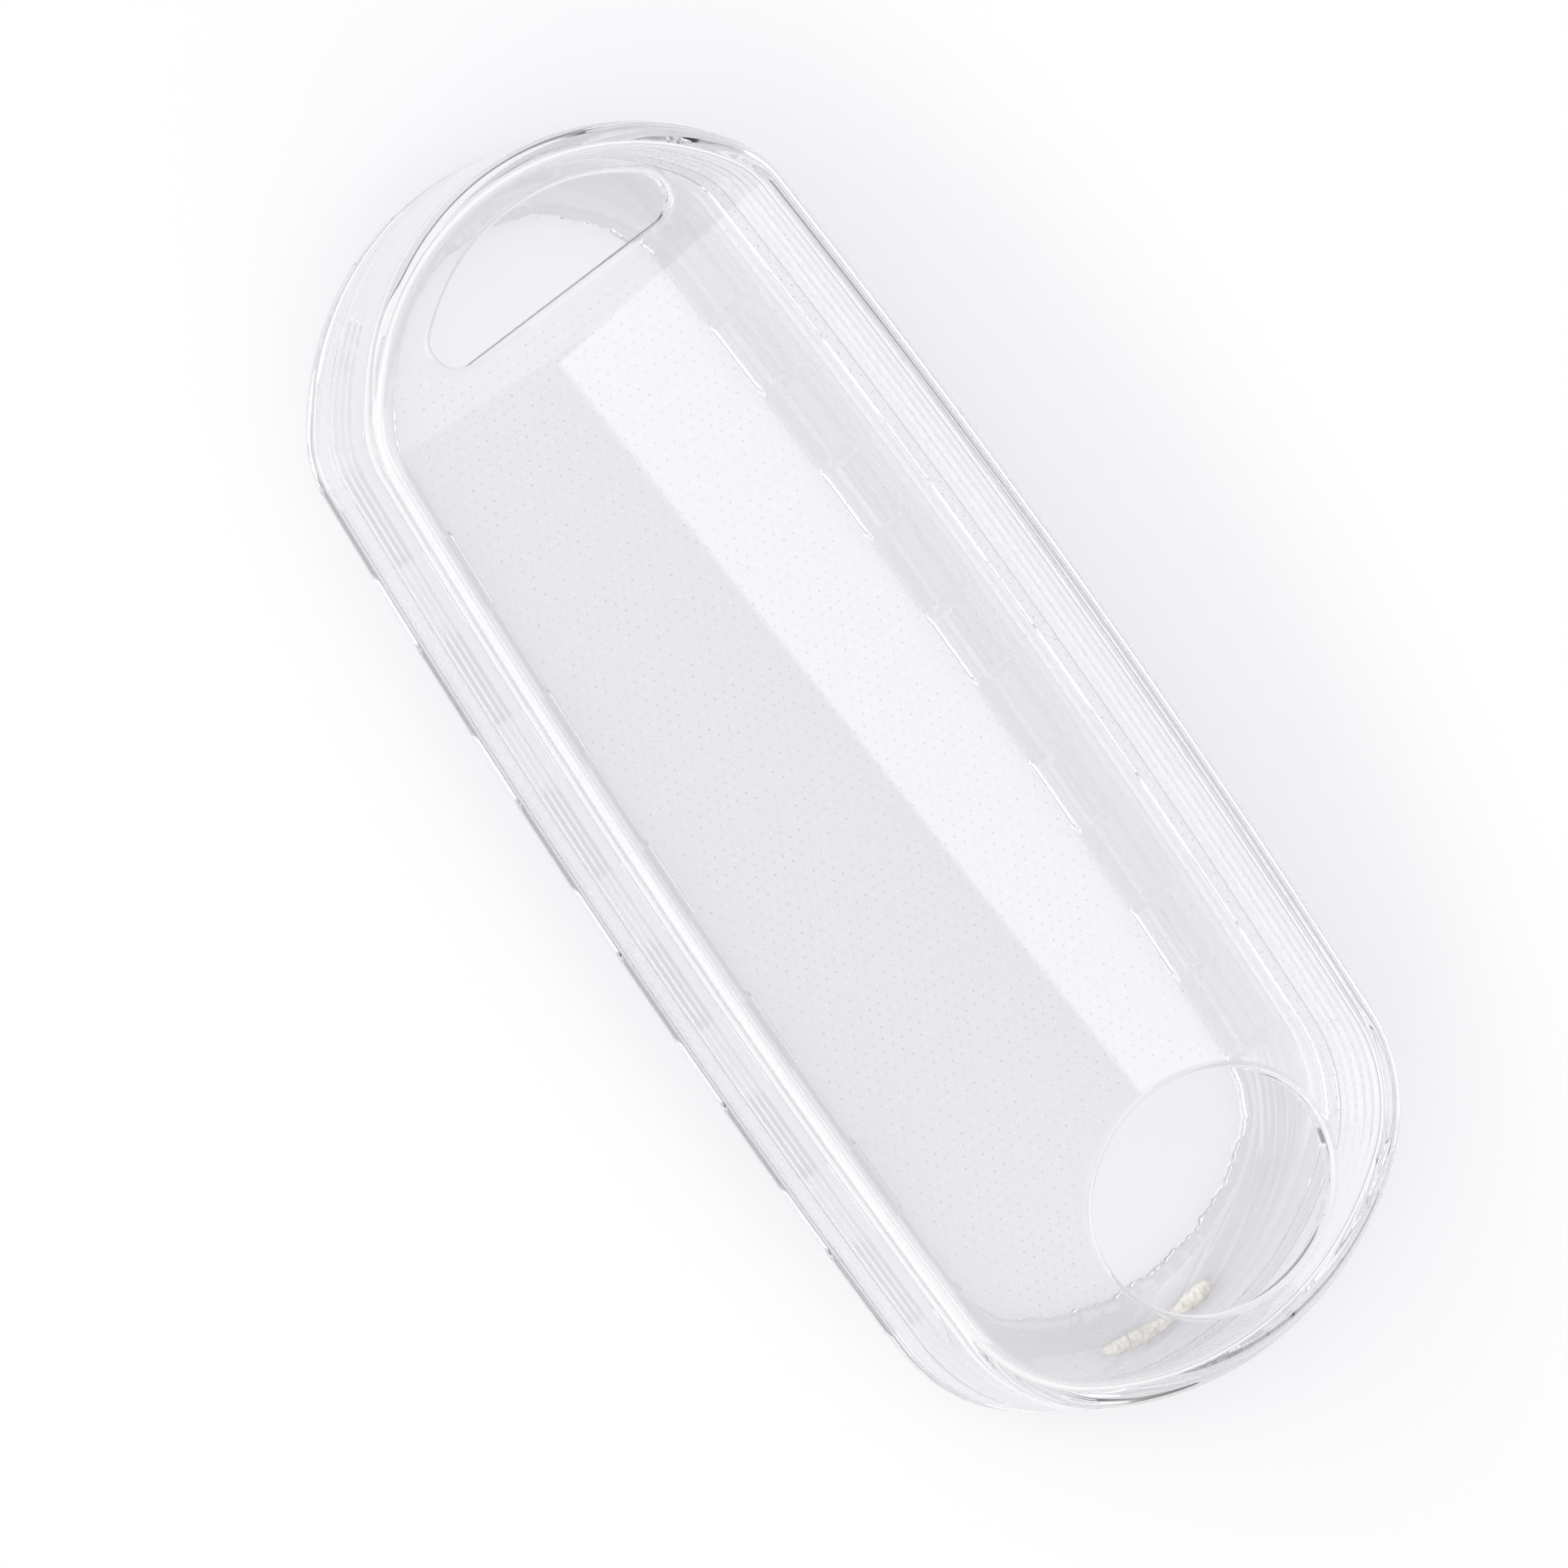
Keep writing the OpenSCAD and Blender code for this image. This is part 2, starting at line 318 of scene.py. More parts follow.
# The reeds are cut by a node tree that reads how far up the wall a point lies
rib_depth = 0.1
rib_fade_start, rib_fade_end = math.radians(40), math.radians(68)
turned = np.arcsin(np.abs(shell_looks[:, 1]).clip(0, 1))
fade = ((rib_fade_end - turned) / (rib_fade_end - rib_fade_start)).clip(0, 1)
fade = fade * fade * (3 - 2 * fade)
total = len(front_shell.data.vertices)
rib_phase, rib_share, rib_look = np.zeros(total), np.zeros(total), np.zeros((total, 3))
for i, phase in enumerate(phases):
    if phase >= 0:
        here = slice(i * around, (i + 1) * around)
        rib_phase[here] = phase
        rib_share[here] = fade
        rib_look[here, :2] = shell_looks
for name, kind, values, field in (
    ("rib_phase", "FLOAT", rib_phase, "value"),
    ("rib_share", "FLOAT", rib_share, "value"),
    ("rib_look", "FLOAT_VECTOR", rib_look, "vector"),
):
    attribute = front_shell.data.attributes.new(name, kind, "POINT")
    attribute.data.foreach_set(field, np.ravel(values).astype(np.float32))


def new_tree(name, inputs):
    """A geometry node tree with these named inputs; returns it with its input and output nodes."""
    tree = bpy.data.node_groups.new(name, "GeometryNodeTree")
    tree.interface.new_socket("Geometry", in_out="INPUT", socket_type="NodeSocketGeometry")
    for label, kind in inputs:
        tree.interface.new_socket(label, in_out="INPUT", socket_type=kind)
    tree.interface.new_socket("Geometry", in_out="OUTPUT", socket_type="NodeSocketGeometry")
    source_node, sink = tree.nodes.new("NodeGroupInput"), tree.nodes.new("NodeGroupOutput")
    return tree, source_node, sink


def math_node(tree, operation, *values):
    """A Math node with numbers or sockets as its inputs; returns its output."""
    node = tree.nodes.new("ShaderNodeMath")
    node.operation = operation
    for slot, value in enumerate(values):
        if isinstance(value, bpy.types.NodeSocket):
            tree.links.new(value, node.inputs[slot])
        else:
            node.inputs[slot].default_value = value
    return node.outputs[0]


def named_attribute(tree, name, kind):
    """A stored attribute's output socket."""
    node = tree.nodes.new("GeometryNodeInputNamedAttribute")
    node.data_type = kind
    node.inputs["Name"].default_value = name
    return node.outputs["Attribute"]


def run_tree(piece, tree, values):
    """Runs the tree on a piece with its inputs set, and keeps the result as the piece's own mesh."""
    modifier = piece.modifiers.new(tree.name, "NODES")
    modifier.node_group = tree
    for item in tree.interface.items_tree:
        if item.in_out == "INPUT" and item.name in values:
            modifier[item.identifier] = values[item.name]
    piece.update_tag()
    bpy.context.view_layer.update()
    graph = bpy.context.evaluated_depsgraph_get()
    made = bpy.data.meshes.new_from_object(piece.evaluated_get(graph), depsgraph=graph)
    piece.modifiers.clear()
    old = piece.data
    piece.data = made
    bpy.data.meshes.remove(old)
    made.name = piece.name


reeds, reeds_in, reeds_out = new_tree(
    "reeded_wall", [("Depth", "NodeSocketFloat"), ("Clear", "NodeSocketMaterial")]
)
turn = math_node(reeds, "MULTIPLY", named_attribute(reeds, "rib_phase", "FLOAT"), math.pi)
swing = math_node(reeds, "COSINE", turn)
arch = math_node(reeds, "MULTIPLY", swing, swing)
groove = math_node(reeds, "SUBTRACT", arch, 1.0)
cut = math_node(reeds, "MULTIPLY", groove, named_attribute(reeds, "rib_share", "FLOAT"))
cut = math_node(reeds, "MULTIPLY", cut, reeds_in.outputs["Depth"])
push = reeds.nodes.new("ShaderNodeVectorMath")
push.operation = "SCALE"
reeds.links.new(named_attribute(reeds, "rib_look", "FLOAT_VECTOR"), push.inputs[0])
reeds.links.new(cut, push.inputs["Scale"])
place = reeds.nodes.new("GeometryNodeSetPosition")
paint = reeds.nodes.new("GeometryNodeSetMaterial")
reeds.links.new(reeds_in.outputs["Geometry"], place.inputs["Geometry"])
reeds.links.new(push.outputs[0], place.inputs["Offset"])
reeds.links.new(place.outputs[0], paint.inputs["Geometry"])
reeds.links.new(reeds_in.outputs["Clear"], paint.inputs["Material"])
reeds.links.new(paint.outputs[0], reeds_out.inputs["Geometry"])


def moulded_skin():
    """Shader group for a clear moulding's skin: slow ripples, a fine grain and faint hazy patches."""
    ripple_scale, grain_scale, patch_scale = 90, 2600, 60
    grain_height, patch_power = 0.0003, 3.0
    group = bpy.data.node_groups.new("moulded_skin", "ShaderNodeTree")
    for label in ("Ripple", "Haze", "Polish"):
        group.interface.new_socket(label, in_out="INPUT", socket_type="NodeSocketFloat")
    for label in ("Roughness", "Height"):
        group.interface.new_socket(label, in_out="OUTPUT", socket_type="NodeSocketFloat")
    given, result = group.nodes.new("NodeGroupInput"), group.nodes.new("NodeGroupOutput")
    place = group.nodes.new("ShaderNodeTexCoord").outputs["Object"]
    slow, fine, patch = (group.nodes.new("ShaderNodeTexNoise") for _ in range(3))
    for noise, scale, detail in ((slow, ripple_scale, 1), (fine, grain_scale, 2), (patch, patch_scale, 4)):
        group.links.new(place, noise.inputs["Vector"])
        noise.inputs["Scale"].default_value = scale
        noise.inputs["Detail"].default_value = detail
    ripple = math_node(group, "MULTIPLY", slow.outputs["Fac"], given.outputs["Ripple"])
    grain = math_node(group, "MULTIPLY", fine.outputs["Fac"], grain_height)
    group.links.new(math_node(group, "ADD", ripple, grain), result.inputs["Height"])
    cloud = math_node(group, "POWER", patch.outputs["Fac"], patch_power)
    haze = math_node(group, "MULTIPLY", cloud, given.outputs["Haze"])
    group.links.new(math_node(group, "ADD", haze, given.outputs["Polish"]), result.inputs["Roughness"])
    return group


skin = moulded_skin()
plastic_ior = 1.49


def clear_moulding(name, tint, polish, ripple, let_through):
    """Clear glossy plastic that bends what is seen through it and lets most of a lamp's light through."""
    haze, skin_bump, skin_depth = 0.02, 0.12, 0.1 * MM
    slant_blend, slant_share = 0.35, 0.9
    first_colour, second_colour, mixed_colour = 6, 7, 2
    material = bpy.data.materials.new(name)
    material.use_nodes = True
    tree = material.node_tree
    shader = tree.nodes["Principled BSDF"]
    shader.inputs["Base Color"].default_value = (*tint, 1)
    shader.inputs["Transmission Weight"].default_value = 1
    shader.inputs["IOR"].default_value = plastic_ior
    look = tree.nodes.new("ShaderNodeGroup")
    look.node_tree = skin
    look.inputs["Ripple"].default_value = ripple
    look.inputs["Haze"].default_value = haze
    look.inputs["Polish"].default_value = polish
    bump = tree.nodes.new("ShaderNodeBump")
    bump.inputs["Strength"].default_value = skin_bump
    bump.inputs["Distance"].default_value = skin_depth
    tree.links.new(look.outputs["Height"], bump.inputs["Height"])
    tree.links.new(bump.outputs["Normal"], shader.inputs["Normal"])
    tree.links.new(look.outputs["Roughness"], shader.inputs["Roughness"])
    path = tree.nodes.new("ShaderNodeLightPath")
    open_way = tree.nodes.new("ShaderNodeBsdfTransparent")
    slant = tree.nodes.new("ShaderNodeLayerWeight")
    slant.inputs["Blend"].default_value = slant_blend
    loss = tree.nodes.new("ShaderNodeMix")
    loss.data_type = "RGBA"
    tree.links.new(slant.outputs["Facing"], loss.inputs["Factor"])
    loss.inputs[first_colour].default_value = (*let_through, 1)
    loss.inputs[second_colour].default_value = (*(slant_share * v for v in let_through), 1)
    tree.links.new(loss.outputs[mixed_colour], open_way.inputs["Color"])
    mix = tree.nodes.new("ShaderNodeMixShader")
    straight = math_node(tree, "MAXIMUM", path.outputs["Is Shadow Ray"], path.outputs["Is Diffuse Ray"])
    tree.links.new(straight, mix.inputs["Fac"])
    tree.links.new(shader.outputs[0], mix.inputs[1])
    tree.links.new(open_way.outputs[0], mix.inputs[2])
    tree.links.new(mix.outputs[0], tree.nodes["Material Output"].inputs["Surface"])
    return material


shell_clear = clear_moulding(
    "shell_clear", tint=(0.965, 0.966, 0.972), polish=0.004, ripple=0.0, let_through=(0.95, 0.95, 0.96)
)
front_shell.data.materials.append(shell_clear)
run_tree(front_shell, reeds, {"Depth": rib_depth * MM, "Clear": shell_clear})
reed_sharp = math.radians(50)
front_shell.data.set_sharp_from_angle(angle=reed_sharp)
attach(front_shell, "front")
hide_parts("front_shell")

# Thousands of tiny frosted dots are moulded on the inside of the face, in a honeycomb,
# and keep the face from clinging in wet-looking patches to what it covers.
dot_pitch = 0.73
dot_r, dot_top_share, dot_h = 0.055, 0.55, 0.03
dot_sides = 6
dot_margin = 0.5
dot_sink = 0.012

row_pitch = dot_pitch * math.sqrt(3) / 2
rows = np.arange(-tip_y, tip_y, row_pitch)
columns = np.arange(-cover_w / 2, cover_w / 2, dot_pitch)
dots = np.array([(x + (i % 2) * dot_pitch / 2, y) for i, y in enumerate(rows) for x in columns])
keep = inside(dots, shell_points - (wall_t + inner_edge_r + dot_margin) * shell_looks)
for points, looks in openings:
    keep &= ~inside(dots, points + (hole_round + dot_margin) * looks)
dots = dots[keep]
micro_dots = add_piece("micro_dots", lifted(dots, under_h + dot_sink), [], sharp_angle=math.pi)

dot_sizes = [("Radius", "NodeSocketFloat"), ("Height", "NodeSocketFloat")]
dotting, dotting_in, dotting_out = new_tree("frosted_dots", dot_sizes + [("Frosted", "NodeSocketMaterial")])
dot = dotting.nodes.new("GeometryNodeMeshCone")
dot.fill_type = "TRIANGLE_FAN"
dot.inputs["Vertices"].default_value = dot_sides
dot_top = math_node(dotting, "MULTIPLY", dotting_in.outputs["Radius"], dot_top_share)
dotting.links.new(dotting_in.outputs["Radius"], dot.inputs["Radius Bottom"])
dotting.links.new(dot_top, dot.inputs["Radius Top"])
dotting.links.new(dotting_in.outputs["Height"], dot.inputs["Depth"])
turn_over = dotting.nodes.new("GeometryNodeTransform")
turn_over.inputs["Rotation"].default_value = (math.pi, 0, 0)
spread = dotting.nodes.new("GeometryNodeInstanceOnPoints")
real = dotting.nodes.new("GeometryNodeRealizeInstances")
paint = dotting.nodes.new("GeometryNodeSetMaterial")
dotting.links.new(dot.outputs["Mesh"], turn_over.inputs["Geometry"])
dotting.links.new(dotting_in.outputs["Geometry"], spread.inputs["Points"])
dotting.links.new(turn_over.outputs[0], spread.inputs["Instance"])
dotting.links.new(spread.outputs[0], real.inputs[0])
dotting.links.new(real.outputs[0], paint.inputs["Geometry"])
dotting.links.new(dotting_in.outputs["Frosted"], paint.inputs["Material"])
dotting.links.new(paint.outputs[0], dotting_out.inputs["Geometry"])

frost_scale, frost_smooth, frost_rough = 900, 0.45, 0.75
frosted = bpy.data.materials.new("dot_frosted")
frosted.use_nodes = True
frosted_tree = frosted.node_tree
frosted_shader = frosted_tree.nodes["Principled BSDF"]
frosted_shader.inputs["Base Color"].default_value = (0.93, 0.93, 0.95, 1)
frosted_shader.inputs["Transmission Weight"].default_value = 0.7
frosted_shader.inputs["IOR"].default_value = plastic_ior
frost_noise = frosted_tree.nodes.new("ShaderNodeTexNoise")
frost_noise.inputs["Scale"].default_value = frost_scale
frost_place = frosted_tree.nodes.new("ShaderNodeTexCoord")
frosted_tree.links.new(frost_place.outputs["Object"], frost_noise.inputs["Vector"])
frost_range = frosted_tree.nodes.new("ShaderNodeMapRange")
frost_range.inputs["To Min"].default_value = frost_smooth
frost_range.inputs["To Max"].default_value = frost_rough
frosted_tree.links.new(frost_noise.outputs["Fac"], frost_range.inputs["Value"])
frosted_tree.links.new(frost_range.outputs["Result"], frosted_shader.inputs["Roughness"])

run_tree(micro_dots, dotting, {"Radius": dot_r * MM, "Height": dot_h * MM, "Frosted": frosted})
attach(micro_dots, "front")

# The rear frame is the flat clear rim round the back opening. Its tongue plugs up into
# the wall, a row of shallow pockets thins the rim along each long edge of the opening,
# and the opening's edge is a little wavy at the two ends, where it was trimmed by hand.
back_edge_r = 1.7
back_t = 1.2
rim_w, rim_slim_w = 5.7, 4.1
rim_slim_start, rim_slim_end = math.radians(30), math.radians(75)
rim_round = 0.25
tongue_h = 2
tongue_root_r = 0.35
pocket_count, pocket_l, pocket_pitch, pocket_w, pocket_depth = 6, 6.1, 11.4, 1.1, 0.45
pocket_shift = 0.8
pocket_soft = 0.22
trim_wave = 0.16
trim_swings = ((0.5, 1.3), (0.3, 3.1), (0.2, 6.7))
back_steps, rim_steps = 14, 5
side_share = 0.99

rim_points, rim_looks = cover_outline(end_steps=70, corner_steps=30, side_steps=260)
rim_around = len(rim_points)
rim_y = rim_points[:, 1]
on_side = np.abs(rim_looks[:, 0]) > side_share
pocketed = np.zeros(rim_around)
for i in range(pocket_count):
    middle = pocket_shift + pocket_pitch * (i - (pocket_count - 1) / 2)
    near = ((pocket_l / 2 - np.abs(rim_y - middle)) / pocket_soft + 0.5).clip(0, 1)
    pocketed = np.maximum(pocketed, near * near * (3 - 2 * near))
pocketed *= on_side
rim_turned = np.arcsin(rim_looks[:, 1].clip(-1, 1))
narrowed = ((rim_turned - rim_slim_start) / (rim_slim_end - rim_slim_start)).clip(0, 1)
opening = rim_w - (rim_w - rim_slim_w) * narrowed * narrowed * (3 - 2 * narrowed)
trim_start, trim_full = 0.35, 0.65
at_end = ((np.abs(rim_looks[:, 1]) - trim_start) / (trim_full - trim_start)).clip(0, 1)
swing_shifts = (np.sign(rim_y), 2, 0)
wave = trim_wave * at_end * sum(
    share * np.sin(pace * rim_points[:, 0] + shift) for (share, pace), shift in zip(trim_swings, swing_shifts)
)


def rim_ring(inset, height):
    """A ring of the rear frame at a height."""
    return lifted(rim_points - np.reshape(inset, (-1, 1)) * rim_looks, height)


frame_rings = [rim_ring(0, split_h - soft_edge)]
for a in np.linspace(0, math.pi / 2, back_steps + 1):
    frame_rings.append(rim_ring(back_edge_r * (1 - math.cos(a)), back_edge_r * (1 - math.sin(a))))
frame_rings.append(rim_ring(opening - pocket_w, 0))
edge = opening + wave
pocket_floor = back_t - pocket_depth * pocketed
for a in np.linspace(0, math.pi / 2, rim_steps + 1):
    frame_rings.append(rim_ring(edge - rim_round * (1 - math.sin(a)), rim_round * (1 - math.cos(a))))
for a in np.linspace(math.pi / 2, 0, rim_steps + 1):
    height = pocket_floor - rim_round * (1 - math.cos(a))
    frame_rings.append(rim_ring(edge - rim_round * (1 - math.sin(a)), height))
for t in np.linspace(0, 1, rim_steps + 1):
    lift = t * t * (3 - 2 * t)
    inset = opening - pocket_w - pocket_soft * (t - 0.5)
    frame_rings.append(rim_ring(inset, pocket_floor + (back_t - pocket_floor) * lift))
for a in np.linspace(0, math.pi / 2, rim_steps + 1):
    inset = wall_t + tongue_root_r * (1 - math.sin(a))
    frame_rings.append(rim_ring(inset, back_t + tongue_root_r * (1 - math.cos(a))))
tongue_face = wall_t - tongue_t
tongue_top = split_h + tongue_h
for inset, height in (
    (wall_t, tongue_top - soft_edge),
    (wall_t - soft_edge, tongue_top),
    (tongue_face + soft_edge, tongue_top),
    (tongue_face, tongue_top - soft_edge),
    (tongue_face, split_h),
    (soft_edge, split_h),
):
    frame_rings.append(rim_ring(inset, height))
frame_faces = []
for i in range(len(frame_rings)):
    frame_faces += ring_quads(i * rim_around, (i + 1) % len(frame_rings) * rim_around, rim_around)
frame_sharp = math.radians(50)
rear_frame = add_piece("rear_frame_clear", np.vstack(frame_rings), frame_faces, frame_sharp)
frame_clear = clear_moulding(
    "frame_clear", tint=(0.955, 0.956, 0.962), polish=0.006, ripple=0.03, let_through=(0.94, 0.94, 0.95)
)
rear_frame.data.materials.append(frame_clear)
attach(rear_frame, "rear")
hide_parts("rear_frame")

# The gate scar is the cream, torn stub where the rim's moulding was cut from its runner.
# It lies on the rim inside the broad end, a little left of the middle.
gate_l, gate_w, gate_h, gate_inset, gate_side = 8.8, 1.2, 0.35, 2.2, 2.2
along_shares = (0, 0.04, 0.1, 0.32, 0.5, 0.63, 0.76, 0.88, 0.96, 1)
width_shares = (0.2, 0.6, 0.8, 0.9, 0.72, 0.5, 0.85, 1, 0.8, 0.3)
gate_sink, gate_skirt = 0.05, 0.02
gate_ragged, gate_crown_power = 0.07, 0.6
gate_body, gate_lumps = 0.78, 0.16
gate_along, gate_across = 90, 10

broad_end_r = cover_w / 2 + broad_end_flat
broad_end_y = broad_end_r - tip_y
scar_r = broad_end_r - gate_inset - gate_w / 2
rng = np.random.default_rng(7)
scar_points, scar_faces = [], []
roughness_map = rng.normal(0, 1, (gate_along + 1, gate_across + 1))
roughness_map = (roughness_map + np.roll(roughness_map, 1, 0) + np.roll(roughness_map, 1, 1)) / 3
for i in range(gate_along + 1):
    t = i / gate_along
    a = -math.pi / 2 + (gate_l * (t - 0.5) - gate_side) / scar_r
    taper = np.interp(t, along_shares, width_shares)
    for j in range(gate_across + 1):
        s = j / gate_across * 2 - 1
        ragged = gate_ragged * roughness_map[i, 0 if s < 0 else gate_across]
        r = scar_r + s * taper * (gate_w / 2 + ragged * abs(s))
        crown = (1 - s * s) ** gate_crown_power * taper
        z = back_t - gate_sink + gate_h * crown * (gate_body + gate_lumps * roughness_map[i, j])
        scar_points.append((r * math.cos(a), broad_end_y + r * math.sin(a), min(z, back_t + gate_h)))
across = gate_across + 1
for i in range(gate_along):
    for j in range(gate_across):
        k = i * across + j
        scar_faces.append((k, k + 1, k + 1 + across, k + across))
under = len(scar_points)
scar_points += [(x, y, back_t - gate_sink - gate_skirt) for x, y, z in scar_points]
scar_faces += [tuple(under + v for v in face[::-1]) for face in scar_faces]
border = (
    list(range(across))
    + [i * across + gate_across for i in range(1, gate_along + 1)]
    + [gate_along * across + j for j in range(gate_across - 1, -1, -1)]
    + [i * across for i in range(gate_along - 1, 0, -1)]
)
for first, second in zip(border, border[1:] + border[:1]):
    scar_faces.append((second, first, under + first, under + second))
scar_sharp = math.radians(70)
gate_scar = add_piece("gate_scar", scar_points, scar_faces, scar_sharp)

torn_scale, torn_detail = 1800, 5
cream_dark, cream_light = (0.74, 0.70, 0.63, 1), (0.95, 0.92, 0.86, 1)
dark_end, light_start = 0.3, 0.62
torn = bpy.data.materials.new("torn_cream")
torn.use_nodes = True
torn_tree = torn.node_tree
torn_shader = torn_tree.nodes["Principled BSDF"]
torn_shader.inputs["Roughness"].default_value = 0.75
torn_shader.inputs["Subsurface Weight"].default_value = 0.15
torn_shader.inputs["Subsurface Radius"].default_value = (0.6 * MM, 0.5 * MM, 0.4 * MM)
torn_place = torn_tree.nodes.new("ShaderNodeTexCoord")
torn_noise = torn_tree.nodes.new("ShaderNodeTexNoise")
torn_noise.inputs["Scale"].default_value = torn_scale
torn_noise.inputs["Detail"].default_value = torn_detail
torn_ramp = torn_tree.nodes.new("ShaderNodeValToRGB")
torn_ramp.color_ramp.elements[0].position = dark_end
torn_ramp.color_ramp.elements[0].color = cream_dark
torn_ramp.color_ramp.elements[1].position = light_start
torn_ramp.color_ramp.elements[1].color = cream_light
torn_bump = torn_tree.nodes.new("ShaderNodeBump")
torn_bump.inputs["Strength"].default_value = 0.6
torn_bump.inputs["Distance"].default_value = 0.08 * MM
torn_tree.links.new(torn_place.outputs["Object"], torn_noise.inputs["Vector"])
torn_tree.links.new(torn_noise.outputs["Fac"], torn_ramp.inputs["Fac"])
torn_tree.links.new(torn_ramp.outputs["Color"], torn_shader.inputs["Base Color"])
torn_tree.links.new(torn_noise.outputs["Fac"], torn_bump.inputs["Height"])
torn_tree.links.new(torn_bump.outputs["Normal"], torn_shader.inputs["Normal"])
gate_scar.data.materials.append(torn)
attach(gate_scar, "rear")

# The studio: a white table that keeps the cover's soft shadow and glows white as seen, but
# the glow fades out in an ellipse round the cover, set a little to its right, so the table there
# is darker: its real shadow plus painted shade, most on the right. Soft lamps, of which the two
# level ones show as pale sheets on the face, and a room that is white near the level and has a
# dark band a little higher, which draws the dark lines along the clear edges.
table_size = 6
table_drop = 0.03 * MM
table_white = 0.92
# Painted shade: the glow share is only table_glow inside an ellipse round the cover, centred 8 mm right of
# it, and full white beyond
table_glow, glow_near, glow_far = 0.1, 0.022, 0.036
shade_pool_shape, shade_pool_shift = (1, 0.48, 1), (-0.008, 0, 0)

floor_mesh = bpy.data.meshes.new("table")
half = table_size / 2
floor_corners = [(-half, -half, 0), (half, -half, 0), (half, half, 0), (-half, half, 0)]
floor_mesh.from_pydata(floor_corners, [], [(0, 1, 2, 3)])
floor = bpy.data.objects.new("table", floor_mesh)
floor.location.z = -table_drop
bpy.context.scene.collection.objects.link(floor)
floor_paint = bpy.data.materials.new("table_white")
floor_paint.use_nodes = True
floor_tree = floor_paint.node_tree
floor_tree.nodes.remove(floor_tree.nodes["Principled BSDF"])
floor_path = floor_tree.nodes.new("ShaderNodeLightPath")
matt = floor_tree.nodes.new("ShaderNodeBsdfDiffuse")
matt.inputs["Color"].default_value = (table_white, table_white, table_white, 1)
glow = floor_tree.nodes.new("ShaderNodeEmission")
glow.inputs["Color"].default_value = (1, 1, 1, 1)
glow.inputs["Strength"].default_value = 1
seen = floor_path.outputs["Is Camera Ray"]
for ray in ("Is Glossy Ray", "Is Transmission Ray"):
    seen = math_node(floor_tree, "MAXIMUM", seen, floor_path.outputs[ray])
floor_mix = floor_tree.nodes.new("ShaderNodeMixShader")
floor_place = floor_tree.nodes.new("ShaderNodeTexCoord")
floor_reach = floor_tree.nodes.new("ShaderNodeVectorMath")
floor_reach.operation = "LENGTH"
floor_squeeze = floor_tree.nodes.new("ShaderNodeVectorMath")
floor_squeeze.operation = "MULTIPLY_ADD"
floor_squeeze.inputs[1].default_value = shade_pool_shape
floor_squeeze.inputs[2].default_value = shade_pool_shift
floor_tree.links.new(floor_place.outputs["Object"], floor_squeeze.inputs[0])
floor_tree.links.new(floor_squeeze.outputs[0], floor_reach.inputs[0])
# Painted shade: less glow near the cover, so the table round it renders darker than further out
shade_pool_fade = floor_tree.nodes.new("ShaderNodeMapRange")
shade_pool_fade.interpolation_type = "SMOOTHSTEP"
shade_pool_fade.inputs["From Min"].default_value = glow_near
shade_pool_fade.inputs["From Max"].default_value = glow_far
shade_pool_fade.inputs["To Min"].default_value = table_glow
floor_tree.links.new(floor_reach.outputs["Value"], shade_pool_fade.inputs["Value"])
glow_share = math_node(floor_tree, "MULTIPLY", seen, shade_pool_fade.outputs["Result"])
floor_tree.links.new(glow_share, floor_mix.inputs["Fac"])
floor_tree.links.new(matt.outputs[0], floor_mix.inputs[1])
floor_tree.links.new(glow.outputs[0], floor_mix.inputs[2])
floor_tree.links.new(floor_mix.outputs[0], floor_tree.nodes["Material Output"].inputs["Surface"])
floor_mesh.materials.append(floor_paint)


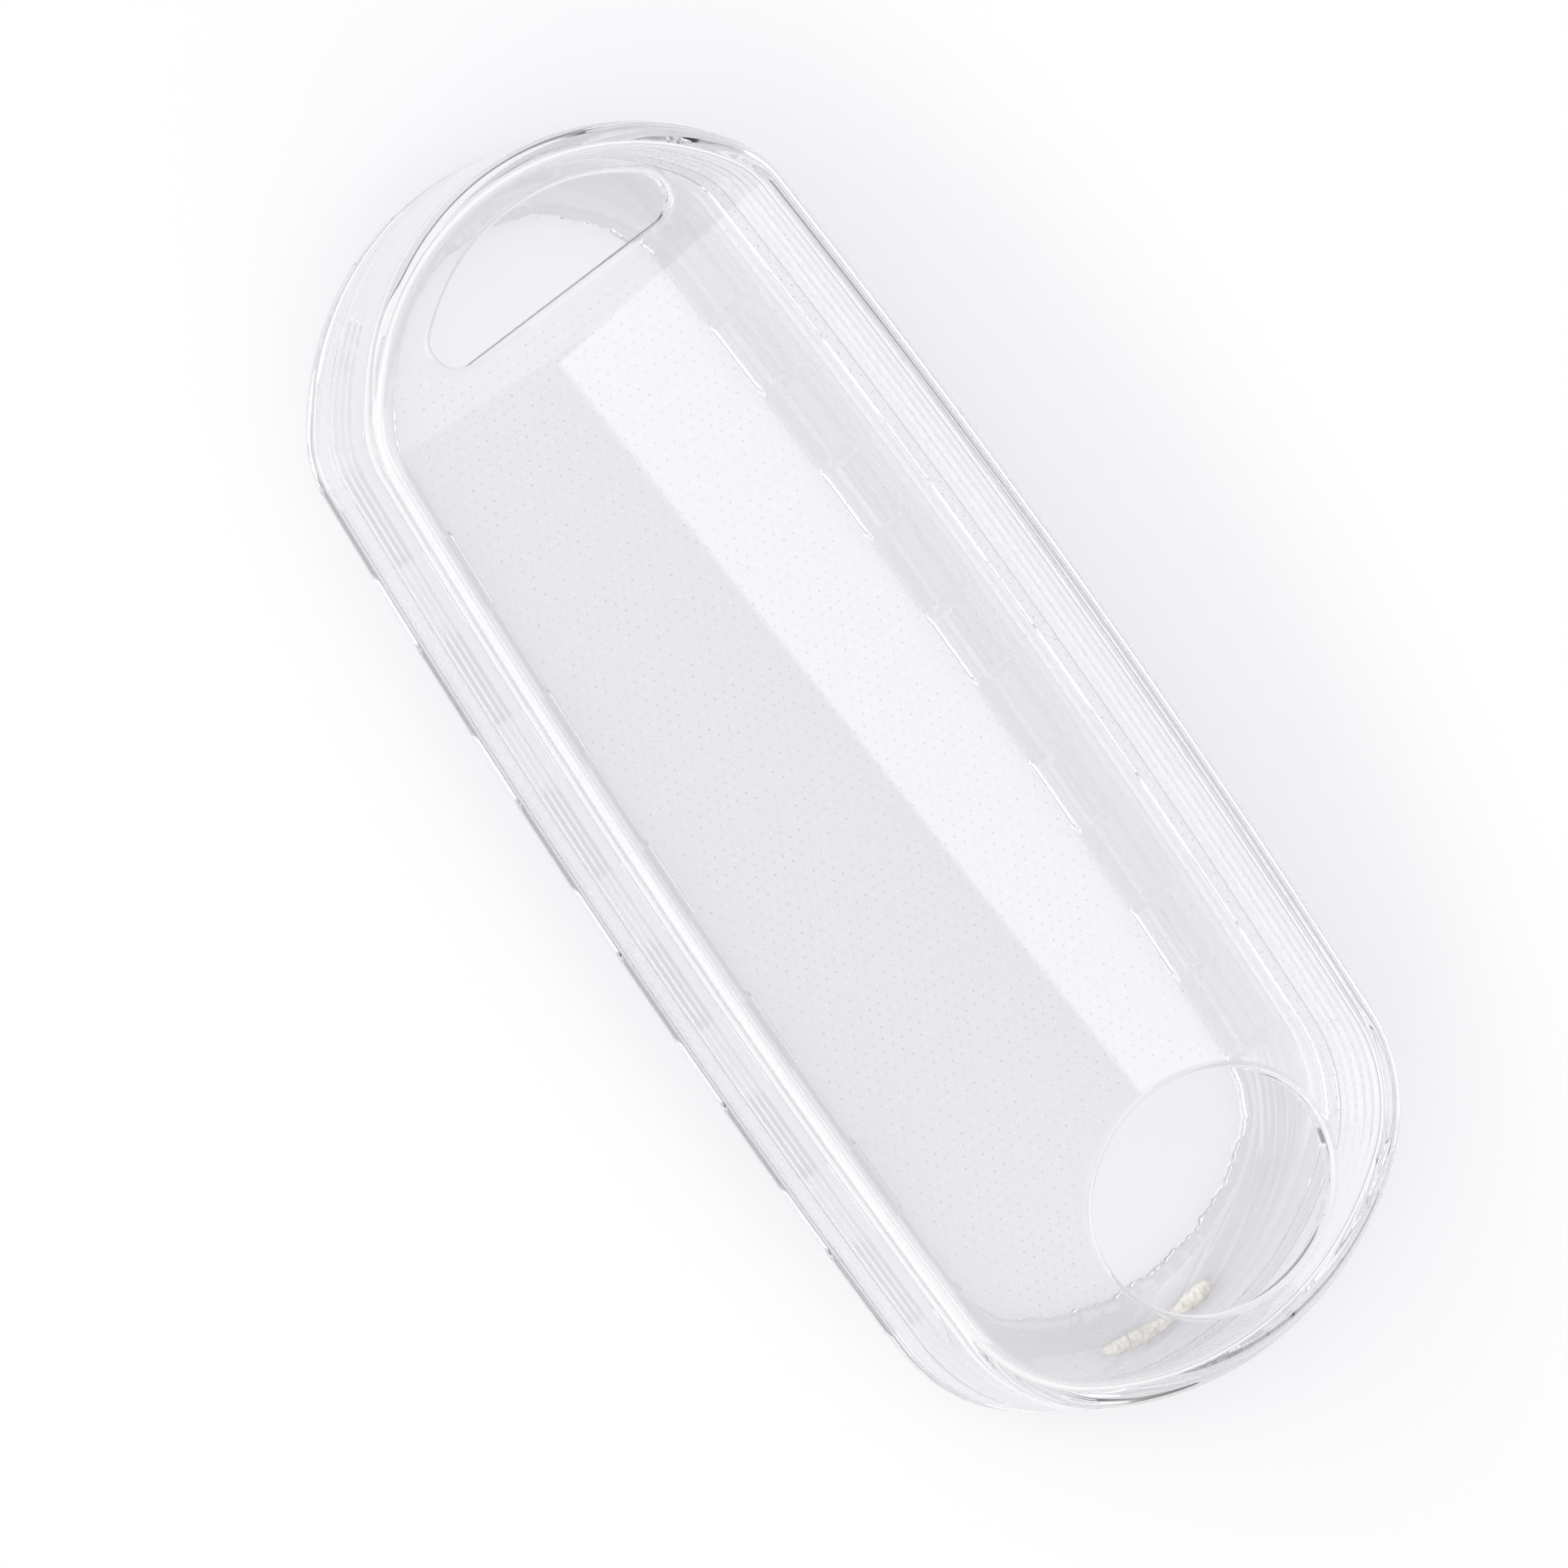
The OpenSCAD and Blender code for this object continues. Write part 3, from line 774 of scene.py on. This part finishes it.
def add_panel(name, centre, turn, width, height, radiance):
    """A soft rectangular lamp of one radiance, level at a turn in degrees or else facing the cover."""
    data = bpy.data.lights.new(name, "AREA")
    data.shape = "RECTANGLE"
    data.size = width
    data.size_y = height
    data.energy = radiance * math.pi * width * height
    panel = bpy.data.objects.new(name, data)
    panel.location = centre
    if turn is None:
        panel.rotation_euler = (-panel.location).to_track_quat("-Z", "Y").to_euler()
    else:
        panel.rotation_euler = (0, 0, math.radians(turn))
    panel.visible_camera = False
    bpy.context.scene.collection.objects.link(panel)


add_panel("soft_box", (0.6047, -0.3195, 0.9), turn=4.1, width=0.5, height=0.5, radiance=1.6)
add_panel("overhead", (0.074, 0.284, 0.9), turn=-4.3, width=1.4, height=0.7, radiance=0.55)
add_panel("left_panel", (-0.6, 0.1, 0.28), turn=None, width=0.9, height=0.5, radiance=2.3)
add_panel("top_fill", (-0.8, 0.5, 1.5), turn=None, width=1.2, height=1.2, radiance=1.5)

# The room's greys, by how far up they lie: 0 is level and 1 is overhead
room_greys = (
    (0.06, (1, 1, 1)),
    (0.14, (0.78, 0.78, 0.79)),
    (0.27, (0.3, 0.3, 0.31)),
    (0.7, (0.52, 0.52, 0.54)),
)
world = bpy.data.worlds.new("studio")
bpy.context.scene.world = world
world.use_nodes = True
world_tree = world.node_tree
room = world_tree.nodes["Background"]
aim = world_tree.nodes.new("ShaderNodeTexCoord")
split = world_tree.nodes.new("ShaderNodeSeparateXYZ")
ramp = world_tree.nodes.new("ShaderNodeValToRGB")
ramp.color_ramp.interpolation = "EASE"
for up, grey in room_greys:
    stop = ramp.color_ramp.elements.new(up)
    stop.color = (*grey, 1)
ramp.color_ramp.elements.remove(ramp.color_ramp.elements[-1])
ramp.color_ramp.elements.remove(ramp.color_ramp.elements[0])
world_tree.links.new(aim.outputs["Generated"], split.inputs[0])
world_tree.links.new(split.outputs["Z"], ramp.inputs["Fac"])
world_tree.links.new(ramp.outputs["Color"], room.inputs["Color"])

# Light that is caught inside the clear walls needs many bounces before it comes out
bpy.context.scene.view_settings.view_transform = "Standard"
bpy.context.scene.cycles.max_bounces = 24
bpy.context.scene.cycles.glossy_bounces = 16
bpy.context.scene.cycles.transmission_bounces = 24
bpy.context.scene.cycles.transparent_max_bounces = 16
